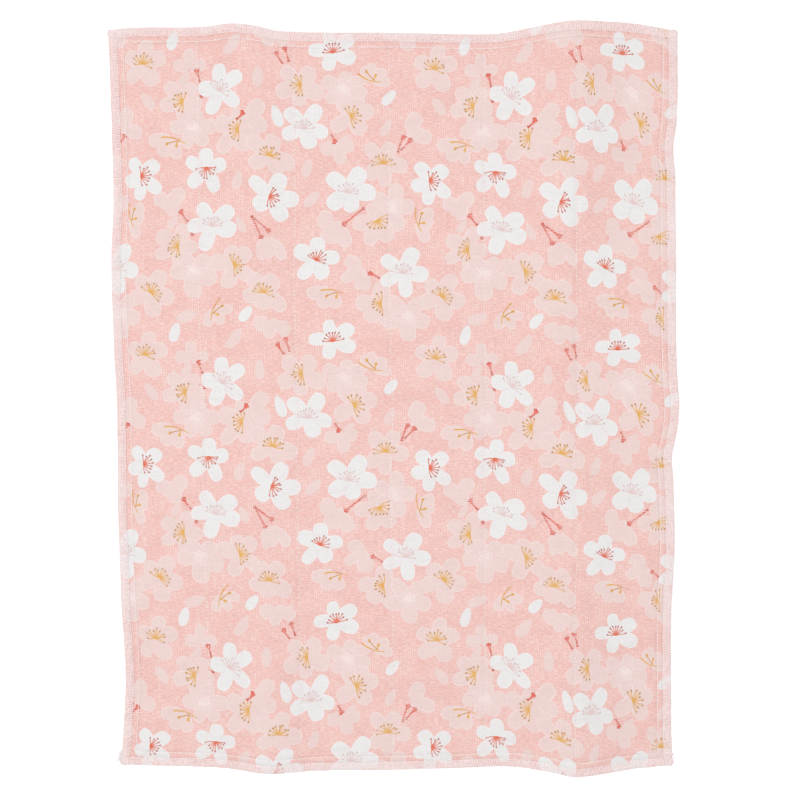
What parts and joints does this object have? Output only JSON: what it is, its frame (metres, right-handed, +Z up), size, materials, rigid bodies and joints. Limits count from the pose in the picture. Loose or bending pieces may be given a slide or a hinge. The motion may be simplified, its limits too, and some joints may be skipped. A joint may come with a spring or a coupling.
{
  "type": "tea towel",
  "caption": "Thin rectangular kitchen towel for drying dishes, laid out flat with soft storage creases, quilted lengthways and overlocked all round.",
  "frame": {"origin": "middle of the towel's footprint, on the surface that it lies on", "axes": "+Z up through the cloth; +Y along its length, towards its upper end; +X towards its right edge"},
  "size_m": [0.3014, 0.4034, 0.0098],
  "materials": {
    "printed_gauze": "matte open-weave cotton gauze, blossom print on pink"
  },
  "bodies": {
    "root": {"towel_cloth": "printed_gauze"}
  },
  "joints": []
}
